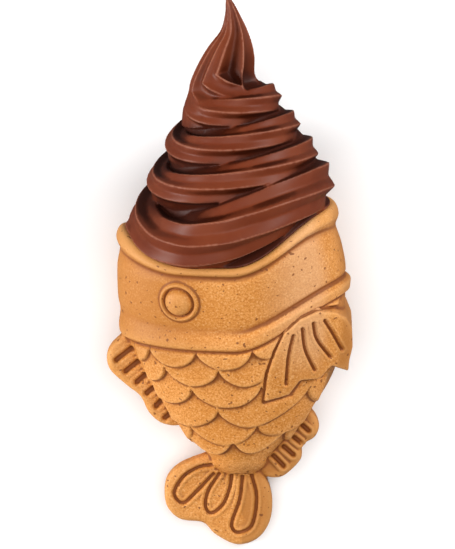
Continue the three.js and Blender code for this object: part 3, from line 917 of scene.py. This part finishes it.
# %% [markdown]
# ## The swirl of soft serve
# A star-shaped nozzle pushes out one long rope, and the rope is wound up in rings that get
# smaller. The rope twists as it is laid, so its ridges wander round it from coil to coil.
# Its middle line follows a rule, and Geometry Nodes sweep the star along that line.

# %% The rope's middle line
SWIRL_TILT = 15.1
SWIRL_TURNS = 3.8
SWIRL_START = -0.38
SWIRL_OUTER = 45.2
SWIRL_TAPER = 7.1
SWIRL_TAPER_GROWTH = 0.12
SWIRL_BASE_V = 9.4
SWIRL_PITCH = 14.2
SWIRL_PITCH_LOSS = 0.19
SLUMP_AT = 0.324
SLUMP_WIDTH = 0.137
SLUMP_SAG = 7
SLUMP_OVERHANG = 2.0
TUCK_STARTS = 3.4
LAST_TUCK = 5
KNOTS_PER_TURN = 17

ROPE_RADIUS = 8.3
FIRST_TURN_EXTRA = 4.6
FAT_UNTIL = 0.25
THINS_OVER = 0.65
ROPE_TWIST = 174


def rope_radius(turns):
    """The first turn is the fattest."""
    thinned = max(0, turns - FAT_UNTIL) / THINS_OVER
    return ROPE_RADIUS + FIRST_TURN_EXTRA * math.exp(-(thinned**2))


def rope_centre(turns):
    """It winds right, front, left, back, on rings that lean up to the right."""
    slump = math.exp(-(((turns - SLUMP_AT) / SLUMP_WIDTH) ** 2))
    tuck = LAST_TUCK * float(smoothstep(turns, TUCK_STARTS, SWIRL_TURNS))
    taper = SWIRL_TAPER * abs(turns) + SWIRL_TAPER_GROWTH * turns**2
    outer = SWIRL_OUTER - taper + SLUMP_OVERHANG * slump - tuck
    ring = outer - rope_radius(turns)
    angle = 2 * math.pi * turns
    lean = outer * math.cos(angle) * math.sin(math.radians(SWIRL_TILT))
    climb = SWIRL_BASE_V + SWIRL_PITCH * turns - SWIRL_PITCH_LOSS * turns**2
    return (ring * math.cos(angle), climb + lean - SLUMP_SAG * slump, ring * math.sin(angle))


def rope_line():
    """A curve object through the rope's middle, with the rope's radius and twist."""
    knots = np.arange(SWIRL_START, SWIRL_TURNS, 1 / KNOTS_PER_TURN)
    curve = bpy.data.curves.new("rope_line", "CURVE")
    curve.dimensions = "3D"
    spline = curve.splines.new("POLY")
    spline.points.add(len(knots) - 1)
    for point, turns in zip(spline.points, knots):
        point.co = (*rope_centre(turns), 1)
        point.radius = rope_radius(turns)
        point.tilt = -math.radians(ROPE_TWIST * turns)
    return placed("rope_line", curve)


line = rope_line()
print("rope line:", len(line.data.splines[0].points), "knots")

# %% The tree that sweeps the nozzle's star
NOZZLE_RIDGES = 8
NOZZLE_PHASE = 7.5
RIDGE_DEPTH = 0.2
RIDGE_POWER = 1.3
POINTS_PER_RIDGE = 14
ROPE_RINGS = 620


def nozzle_tree():
    """Draws the nozzle's star and sweeps it along a curve, with the curve's radius and tilt."""
    tree, given = new_tree(
        "nozzle_sweep",
        {
            "Ridges": "Int", "Points per ridge": "Int", "Ridge depth": "Float", "Ridge power": "Float",
            "Phase": "Float", "Rings": "Int", "Material": "Material",
        },
    )

    def add(kind, inputs=None, **settings):
        return add_node(tree, kind, inputs, **settings)

    ridges, per_ridge, depth, power, phase = (
        Field(tree, given[name])
        for name in ("Ridges", "Points per ridge", "Ridge depth", "Ridge power", "Phase")
    )
    around = ridges * per_ridge
    circle = add("GeometryNodeCurvePrimitiveCircle", {"Resolution": around})
    index = Field(tree, add("GeometryNodeInputIndex").outputs[0])
    from_hollow = ((index / per_ridge).math("FRACT") * 2.0 - 1.0).math("ABSOLUTE")
    reach = (from_hollow.math("POWER", power) * -1.0 + 1.0) * depth * -1.0 + 1.0
    angle = index / around * (2 * math.pi) + phase
    x, y = angle.math("SINE") * reach, angle.math("COSINE") * reach
    place = add("ShaderNodeCombineXYZ", {"X": x, "Y": y}).outputs[0]
    star = add("GeometryNodeSetPosition", {"Geometry": circle.outputs["Curve"], "Position": place})

    rounded = add("GeometryNodeCurveSplineType", {"Curve": given["Geometry"]}, spline_type="CATMULL_ROM")
    inputs = {"Curve": rounded.outputs[0], "Count": given["Rings"]}
    even = add("GeometryNodeResampleCurve", inputs, mode="COUNT")

    tangent = add("GeometryNodeInputTangent").outputs[0]
    swing = add("FunctionNodeAlignRotationToVector", {"Vector": tangent}, axis="Y")
    across = add("FunctionNodeRotateVector", {"Vector": (1, 0, 0), "Rotation": swing.outputs[0]})
    inputs = {"Curve": even.outputs[0], "Normal": across.outputs[0]}
    steady = add("GeometryNodeSetCurveNormal", inputs, mode="FREE")

    radius = add("GeometryNodeInputRadius").outputs[0]
    inputs = {"Curve": steady.outputs[0], "Profile Curve": star.outputs[0], "Scale": radius}
    sweep = add("GeometryNodeCurveToMesh", {**inputs, "Fill Caps": True})
    end_tree(tree, sweep.outputs["Mesh"], given["Material"])
    return tree


CREAM_FINISH = bpy.data.materials.new("chocolate_cream")
rope = run_tree(
    line,
    nozzle_tree(),
    {
        "Ridges": NOZZLE_RIDGES, "Points per ridge": POINTS_PER_RIDGE, "Ridge depth": RIDGE_DEPTH,
        "Ridge power": RIDGE_POWER, "Phase": math.radians(NOZZLE_PHASE), "Rings": ROPE_RINGS,
        "Material": CREAM_FINISH,
    },
)
print("rope:", len(rope.data.vertices), "points")

# %% [markdown]
# ## The peak
# When the valve shuts, the cone is pulled away and the last cream is drawn up to a curved
# point. The peak is a stack of star-shaped rings. Its ridges run straight up to the tip,
# and low down they sweep off to the right, one after another, and become the last coil's.

# %% The peak
PEAK_RINGS = [
    # height, middle, radius
    (50, -2, 17.5), (56, -1.6, 17.4), (59.5, -2, 16.2), (63, -2.3, 14.7), (67, -2.2, 13.7),
    (73.5, -0.5, 12), (80, 1.1, 9.4), (86.5, 2.5, 5.8), (93.5, 1.8, 3.3), (98, 0.7, 1.9),
    (101, -0.3, 0.5),
]
PEAK_STEPS = 16
PEAK_CRESTS = [4, 53, 106, 130, 155, 184, 214, 247, 284, 322]
FLUTE_DEPTHS = np.array([0.34, 0.42, 0.11, 0.17, 0.15, 0.17, 0.2, 0.22, 0.22, 0.22, 0.22])
FLUTE_POWER = 1.8
FLUTES_START = (57, 63)
STILL_CRESTS = 2
SWEEP_START = 70.5
SWEEP_LAG = 0.137
SWEEP_PER_MM = 7.8
LEAST_SPACING = 2
FOOT_V = 61
FOOT_LEAN = 0.26
LEAN_HEIGHT = 12


def crest_places(height):
    """Where the ridges stand round the peak. Low down they sweep off to the right."""
    places = list(PEAK_CRESTS)
    for i in range(STILL_CRESTS, len(places)):
        start = SWEEP_START - SWEEP_LAG * (PEAK_CRESTS[i] - PEAK_CRESTS[STILL_CRESTS])
        places[i] -= SWEEP_PER_MM * max(0, start - height)
        places[i] = max(places[i], places[i - 1] + LEAST_SPACING)
    return np.array([*places, PEAK_CRESTS[0] + 360], float)


def peak():
    """Star-shaped rings up to the tip. They lean at the foot."""
    around = np.arange(0, 360, 2.5)
    rings = []
    for height, middle, radius in smooth_line(PEAK_RINGS, PEAK_STEPS):
        crests = crest_places(height)
        above_foot = max(0, height - FOOT_V)
        place = (around - crests[0]) % 360 + crests[0]
        ridge = np.interp(place, crests, np.arange(len(crests)))
        from_hollow = np.abs(2 * (ridge % 1) - 1)
        depth = FLUTE_DEPTHS[ridge.astype(int)] * smoothstep(height, *FLUTES_START)
        reach = radius * (1 - depth * (1 - from_hollow**FLUTE_POWER))
        u, w = reach * np.cos(np.radians(around)), reach * np.sin(np.radians(around))
        lean = FOOT_LEAN * math.exp(-above_foot / LEAN_HEIGHT)
        rings.append(np.column_stack([middle + u, height + lean * u, w]))
    (low, first, _), (high, last, _) = PEAK_RINGS[0], PEAK_RINGS[-1]
    return ring_skin("peak", (first, low - 1, 0), rings, (last, high + 0.4, 0))


tip = peak()
print("peak:", len(tip.data.vertices), "points")

# %% [markdown]
# ## Coils that melt into each other
# Where coils touch, the rope must become one body with the cream inside the coils, the
# plug in the mouth and the peak. A fine voxel remesh melts them together. It keeps the
# ridges, and a round of smoothing takes its steps away.

# %% Melt the coils together
CORE_OVERLAP = 1.5
CORE_LEAN = 0.36
CORE_TOP_V = 66
CORE_START_V = -12
CORE_FOOT = (24, -8)
CORE_TURNS = np.arange(0, 3.1, 0.5)
MID_WALL = -WALL / 2
PLUG_RINGS = [
    # how far above the rim, how far out of the skin
    (-CUP_DEPTH - 2, MID_WALL - 8), (-CUP_DEPTH + 2, MID_WALL), (-2.5, MID_WALL), (1, -1.8),
    (3, -4), (6.5, -8), (9, -14),
]
PLUG_START_DROP = 6
PLUG_TOP_V = 12
CREAM_VOXEL = 0.46
MELT_ROUNDS = 1


def core():
    """The cream inside the coils: a cone that leans as the rings do."""
    angles = np.radians(np.arange(0, 360, 6))
    sizes = [CORE_FOOT]
    for turns in CORE_TURNS:
        inner = SWIRL_OUTER - SWIRL_TAPER * turns - rope_radius(turns)
        sizes.append((inner + CORE_OVERLAP, SWIRL_BASE_V + SWIRL_PITCH * turns))
    rings = []
    for radius, height in sizes:
        u, w = radius * np.cos(angles), radius * np.sin(angles)
        rings.append(np.column_stack([u, height + CORE_LEAN * u, w]))
    return ring_skin("core", (0, CORE_START_V, 0), rings, (0, CORE_TOP_V, 0))


def plug():
    """The cream pressed down into the fish's mouth."""
    rings = [skin(BODY_TURNS, rim_v(BODY_SIDE) + rise, proud) for rise, proud in PLUG_RINGS]
    start = (CENTRE_AT_HEAD, RIM_FRONT_V - CUP_DEPTH - PLUG_START_DROP, 0)
    return ring_skin("plug", start, rings, (CENTRE_AT_HEAD, PLUG_TOP_V, 0))


swirl = fused([rope, core(), plug(), tip], "swirl", CREAM_VOXEL, MELT_ROUNDS)
print("melted cream:", len(swirl.data.polygons), "faces")

# %% [markdown]
# ## The foot of the peak
# The peak stands in the last coil, and the remesh leaves a sharp step round it. There the
# points move towards their neighbours, most at the foot's height and less away from it.

# %% Smooth the foot of the peak
FOOT_PLACE = (-2, 61)
FOOT_BAND = 3.5
FOOT_FADE = (16, 19)
FOOT_ROUNDS = 8


def smooth_foot(mesh):
    """Where the peak sinks into the last coil, the cream has run together."""
    average = averager(mesh)
    points = points_of(mesh)
    u, v, w = points.T
    height = v - FOOT_LEAN * u
    near = np.exp(-(((height - FOOT_PLACE[1]) / FOOT_BAND) ** 2))
    near *= 1 - smoothstep(np.hypot(u - FOOT_PLACE[0], w), *FOOT_FADE)
    for _ in range(FOOT_ROUNDS):
        points += near[:, None] * (average(points) - points)
    place_points(mesh, points)


smooth_foot(swirl.data)
store_hollows(swirl.data, "crease", rounds=4, full=0.2)
swirl = thinned(swirl)
print("swirl:", len(swirl.data.polygons), "faces")

# %% [markdown]
# ## Light in the folds
# Little light gets down between the coils. So a fan of rays looks for the sky from each
# point, and the share that gets out is stored for the material, which paints the cream
# almost black there as painted shade. The rays turn by the golden angle, which spreads
# them evenly.

# %% How much sky each point sees
SKY_RAYS = 12
SKY_REACH = 22
SKY_ROUNDS = 6
RAY_START = 0.3
ALONG_X = 0.8
GOLDEN_ANGLE = math.radians(137.5)
FACES_UP = (0.45, 0.75)
CLEAR_SKY = (0.88, 0.95)
COIL_SHADE = 0.14


def store_openness(mesh, name):
    """Stores 1 where a point sees the whole sky, and less where folds stand in its way."""
    points, normals = points_of(mesh), normals_of(mesh)
    mesh.calc_loop_triangles()
    triangles = [tuple(t.vertices) for t in mesh.loop_triangles]
    tree = BVHTree.FromPolygons([tuple(p) for p in points], triangles)
    # Two directions across each normal span the fan of rays.
    aside = np.cross(normals, np.where(np.abs(normals[:, :1]) < ALONG_X, (1, 0, 0), (0, 1, 0)))
    aside /= np.linalg.norm(aside, axis=1)[:, None]
    ahead = np.cross(normals, aside)
    starts = [Vector(p) for p in points + RAY_START * normals]
    seen = np.zeros(len(points))
    for ray in range(SKY_RAYS):
        up = math.sqrt(1 - (ray + 0.5) / SKY_RAYS)
        out, turn = math.sqrt(1 - up * up), ray * GOLDEN_ANGLE
        ways = up * normals + out * (math.cos(turn) * aside + math.sin(turn) * ahead)
        seen += [tree.ray_cast(o, Vector(way), SKY_REACH)[0] is None for o, way in zip(starts, ways)]
    average = averager(mesh)
    open_share = seen[:, None] / SKY_RAYS
    for _ in range(SKY_ROUNDS):
        open_share = average(open_share)
    open_share = open_share[:, 0]
    # Faces turned up under the coil above lose a little more, for painted shade there.
    under_coil = smoothstep(normals[:, 1], *FACES_UP) * (1 - smoothstep(open_share, *CLEAR_SKY))
    store(mesh, name, open_share - COIL_SHADE * under_coil)


store_openness(swirl.data, "openness")
print("openness measured")

# %% [markdown]
# ## Room for the lip
# Two pieces in the same place would show through each other. So the mouth of the fish,
# larger by a hair, is cut out of the cream.

# %% Room for the lip
FIT_GAP = 0.1
ROOM_OUTSIDE = [
    # how far below the rim in lip heights, how far out of the skin
    (1.35, 0), (1, -0.7), (0.7, 1.1), (0.45, 1.35), (0.15, 1.1),
]
ROOM_INSIDE = [
    # how far below the rim, how far out of the skin
    (0, -1), (-0.3, -2.4), (0, -3.6), (2, -WALL), (CUP_DEPTH, -WALL - CUP_TAPER),
]
ROOM_DEPTH = 24
ROOM_START_V = -48


def mouth_room():
    """The fish's mouth with a hair of room round it."""
    rim = rim_v(BODY_SIDE)
    rings = [skin(BODY_TURNS, rim - ROOM_DEPTH, FIT_GAP)]
    for drop, proud in ROOM_OUTSIDE:
        rings.append(skin(BODY_TURNS, rim - drop * lip_height(BODY_SIDE), proud + FIT_GAP))
    for drop, proud in ROOM_INSIDE:
        rings.append(skin(BODY_TURNS, rim - drop + FIT_GAP, proud - FIT_GAP))
    end = (CENTRE_AT_HEAD, RIM_FRONT_V - CUP_DEPTH + CUP_FLOOR_RISE + FIT_GAP, 0)
    return ring_skin("mouth_room", (CENTRE_AT_HEAD, ROOM_START_V, 0), rings, end)


swirl = carved(swirl, mouth_room(), "DIFFERENCE")
print("swirl:", len(swirl.data.polygons), "faces")

# %% Lay the swirl down
lay_down(swirl)
swirl.name = "soft_serve_swirl"
swirl.data.name = "soft_serve_swirl"
swirl.data.materials.clear()
swirl.data.materials.append(CREAM_FINISH)
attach(swirl, "root")
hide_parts("soft_serve")
print("the swirl takes the place of its plain solid")

# %% [markdown]
# ## Finish of the waffle
# Baked batter is matt and finely grained. It is golden where the mould was even, with
# painted shade in the hollows and creases, painted highlights on the crests, and a few
# dark pinholes. Noise in Object coordinates gives the grain. The stored hollows and
# creases place the painted shade and highlights; the stored baking_and_light places the
# brown seam, the painted shade at the left and the lip's front, and the painted sheen on
# the right cheek.

# %% A helper for material nodes
class Shader:
    """Builds one material's node tree around its Principled shader."""

    def __init__(self, material):
        material.use_nodes = True
        self.tree = material.node_tree
        self.surface = self.tree.nodes["Principled BSDF"]
        self.place = self.add("ShaderNodeTexCoord").outputs["Object"]

    def add(self, kind, inputs=None, **settings):
        return add_node(self.tree, kind, inputs, **settings)

    def set(self, **inputs):
        """Sets the Principled shader's inputs. A _ stands for each space in their names."""
        inputs = {name.replace("_", " "): value for name, value in inputs.items()}
        fill(self.tree, self.surface, inputs)

    def noise(self, grain, detail=2.0, roughness=0.5):
        """Noise whose spots are about grain metres across."""
        inputs = {"Scale": 1 / grain, "Detail": detail, "Roughness": roughness}
        return self.add("ShaderNodeTexNoise", {"Vector": self.place, **inputs}).outputs["Fac"]

    def attribute(self, name):
        """The number that was stored for each point under this name."""
        return self.add("ShaderNodeAttribute", attribute_name=name).outputs["Fac"]

    def spread(self, value, low, high, to_low=0.0, to_high=1.0):
        """Maps low..high onto to_low..to_high, and no further."""
        inputs = {"From Min": low, "From Max": high, "To Min": to_low, "To Max": to_high}
        return self.add("ShaderNodeMapRange", {"Value": value, **inputs}).outputs["Result"]

    def mix(self, share, below, above):
        """The tone below with a share of the tone above. Each is a colour or an output."""
        a, b = ((*tone, 1) if isinstance(tone, tuple) else tone for tone in (below, above))
        return self.add("ShaderNodeMix", {0: share, 6: a, 7: b}, data_type="RGBA").outputs[2]

    def bump(self, heights):
        """Stacks bumps: each is a height output, its strength and its depth in metres."""
        normal = {}
        for height, strength, depth in heights:
            inputs = {"Height": height, "Strength": strength, "Distance": depth}
            normal = {"Normal": self.add("ShaderNodeBump", {**inputs, **normal}).outputs["Normal"]}
        return normal["Normal"]


# %% Baked batter
GOLD = (0.56, 0.215, 0.038)
LIGHT_GOLD = (0.63, 0.262, 0.060)
SPECKLE = (0.45, 0.155, 0.026)
FLOUR = (0.84, 0.50, 0.23)
PAINTED_CHEEK_SHEEN = (0.70, 0.42, 0.24)
SEAM_BROWN_AND_SHADE = (0.38, 0.14, 0.025)
BATTER_CREST_HIGHLIGHT = (0.78, 0.40, 0.14)
HOLLOW_SHADE = (0.30, 0.09, 0.018)
CREASE_SHADOW = (0.20, 0.055, 0.012)
BURNT_PINHOLE = (0.16, 0.045, 0.012)
GRAIN_SIZE = 0.0008
PORE_SIZE = 0.0017
PUCKER_SIZE = 0.005
MOTTLE_SIZE = 0.014


def baked_batter(material):
    """Each line lays one more tone over the colour so far."""
    s = Shader(material)
    grain = s.noise(GRAIN_SIZE, 3, 0.65)
    baking_and_light, hollow, crease = (s.attribute(name) for name in ("baking_and_light", "hollow", "crease"))
    tone = s.mix(s.spread(s.noise(MOTTLE_SIZE), 0.35, 0.65), GOLD, LIGHT_GOLD)
    tone = s.mix(s.spread(grain, 0.36, 0.50), SPECKLE, tone)
    tone = s.mix(s.spread(grain, 0.54, 0.68, 0, 0.5), tone, FLOUR)
    # A painted sheen on the right cheek.
    tone = s.mix(s.spread(baking_and_light, 0, 1, 0, 0.4), tone, PAINTED_CHEEK_SHEEN)
    # The seam's own brown, and the painted shade at the left of the head and the lip's front.
    tone = s.mix(s.spread(baking_and_light, -1, 0, 0.8, 0), tone, SEAM_BROWN_AND_SHADE)
    # A painted highlight on the batter's crests.
    tone = s.mix(s.spread(hollow, -0.9, -0.1, 0.35, 0), tone, BATTER_CREST_HIGHLIGHT)
    # Painted shade in the hollows.
    tone = s.mix(s.spread(hollow, 0.03, 0.6, 0, 0.8), tone, HOLLOW_SHADE)
    # A painted shadow in the creases, as under the edges of the scales.
    tone = s.mix(s.spread(crease, 0.25, 0.8, 0, 0.75), tone, CREASE_SHADOW)
    tone = s.mix(s.spread(s.noise(PORE_SIZE, 0), 0.765, 0.79, 0, 0.8), tone, BURNT_PINHOLE)
    s.set(Base_Color=tone, Specular_IOR_Level=0.2)
    s.set(Roughness=s.spread(grain, 0.3, 0.7, 0.45, 0.62))
    s.set(Normal=s.bump([(grain, 0.45, 0.00025), (s.noise(PUCKER_SIZE), 0.3, 0.0004)]))


baked_batter(WAFFLE_FINISH)
print("baked batter:", len(WAFFLE_FINISH.node_tree.nodes), "nodes")

# %% [markdown]
# ## Finish of the chocolate cream
# Soft serve is smooth and a little moist, and light enters it a short way. Its thin
# crests get a painted highlight, and the folds that see little of the sky get painted
# shade, deep brown, and don't shine.

# %% Chocolate cream
CHOCOLATE = (0.136, 0.026, 0.0095)
LIGHT_CHOCOLATE = (0.166, 0.036, 0.0135)
CREAM_CREST_HIGHLIGHT = (0.40, 0.165, 0.10)
FOLD_SHADE = (0.040, 0.0055, 0.001)
DRIFT_SIZE = 0.02
FROST_SIZE = 0.0012


def chocolate_cream(material):
    """Milk chocolate, with a painted highlight on the crests and painted shade, nearly black, in the
    folds.
    """
    s = Shader(material)
    crease, openness = s.attribute("crease"), s.attribute("openness")
    tone = s.mix(s.spread(s.noise(DRIFT_SIZE), 0.35, 0.65), CHOCOLATE, LIGHT_CHOCOLATE)
    # A painted highlight on the thin crests.
    tone = s.mix(s.spread(crease, -0.8, -0.12, 0.8, 0), tone, CREAM_CREST_HIGHLIGHT)
    # Painted shade in the folds that see little of the sky.
    tone = s.mix(s.spread(openness, 0.68, 0.96, 1, 0), tone, FOLD_SHADE)
    s.set(Base_Color=tone, Specular_IOR_Level=0.14)
    s.set(Subsurface_Weight=0.05, Subsurface_Scale=0.002)
    s.set(Roughness=s.spread(openness, 0.3, 0.7, 0.9, 0.42))
    s.set(Normal=s.bump([(s.noise(FROST_SIZE), 0.12, 0.0001)]))


chocolate_cream(CREAM_FINISH)
print("chocolate cream:", len(CREAM_FINISH.node_tree.nodes), "nodes")

# %% [markdown]
# ## Table, light and camera
# The cone lies on a pale table and the camera looks straight down on it through a long
# lens, so that nothing is drawn larger for being nearer. The light is a studio's: large
# soft panels, and a little light from all round.

# %% Table and room
TABLE_SIZE = 12
TABLE_COLOUR = (0.92, 0.92, 0.92, 1)
TABLE_ROUGHNESS = 0.8
ROOM_COLOUR = (1, 0.99, 0.98, 1)
ROOM_STRENGTH = 0.12


def pale_table():
    """A large plain square that the cone lies on."""
    half = TABLE_SIZE / 2
    corners = [(-half, -half, 0), (half, -half, 0), (half, half, 0), (-half, half, 0)]
    table = add_mesh("table", corners, [(0, 1, 2, 3)])
    paint = bpy.data.materials.new("pale_table")
    paint.use_nodes = True
    shader = paint.node_tree.nodes["Principled BSDF"]
    fill(paint.node_tree, shader, {"Base Color": TABLE_COLOUR, "Roughness": TABLE_ROUGHNESS})
    table.data.materials.append(paint)
    # The wet cream would mirror the bright table, which would veil its dark folds.
    table.visible_glossy = False


pale_table()
room = bpy.data.worlds.new("room")
bpy.context.scene.world = room
room.use_nodes = True
background = room.node_tree.nodes["Background"]
fill(room.node_tree, background, {"Color": ROOM_COLOUR, "Strength": ROOM_STRENGTH})
print("table", TABLE_SIZE, "m wide")

# %% Soft panels
PANELS = {
    # name: place in metres, width in metres, power in watts
    "left_panel": ((-0.9, -0.05, 0.32), 0.35, 8.6),
    "right_panel": ((0.65, 0.4, 0.55), 0.45, 6.5),
    "top_panel": ((-0.1, -0.2, 1.5), 1.6, 19),
}
PANEL_AIM = (0, 0, 0.04)


def soft_panel(name, place, size, power):
    """An area light that faces the middle of the cone."""
    light = bpy.data.lights.new(name, "AREA")
    light.shape = "DISK"
    light.size = size
    light.energy = power
    panel = placed(name, light)
    panel.location = place
    aim = Vector(PANEL_AIM) - Vector(place)
    panel.rotation_mode = "QUATERNION"
    panel.rotation_quaternion = aim.to_track_quat("-Z", "Y")


for name, (place, size, power) in PANELS.items():
    soft_panel(name, place, size, power)
print("lights:", list(PANELS))

# %% Camera
IMAGE_HEIGHT = 549
MM_PER_PIXEL = 0.42
VIEW_CENTRE = (-0.0009, -0.001)
CAMERA_HEIGHT = 4.0
SENSOR_WIDTH = 36
CLIP_NEAR, CLIP_FAR = 0.1, 100

camera_data = bpy.data.cameras.new("camera")
camera = placed("camera", camera_data)
camera.location = (*VIEW_CENTRE, CAMERA_HEIGHT)
camera_data.sensor_width = SENSOR_WIDTH
seen_height = IMAGE_HEIGHT * MM_PER_PIXEL * METRES
camera_data.lens = SENSOR_WIDTH * (CAMERA_HEIGHT - AXIS_HEIGHT * METRES) / seen_height
camera_data.clip_start = CLIP_NEAR
camera_data.clip_end = CLIP_FAR
bpy.context.scene.camera = camera
bpy.context.scene.view_settings.view_transform = "Standard"
print("lens:", round(camera_data.lens), "mm")
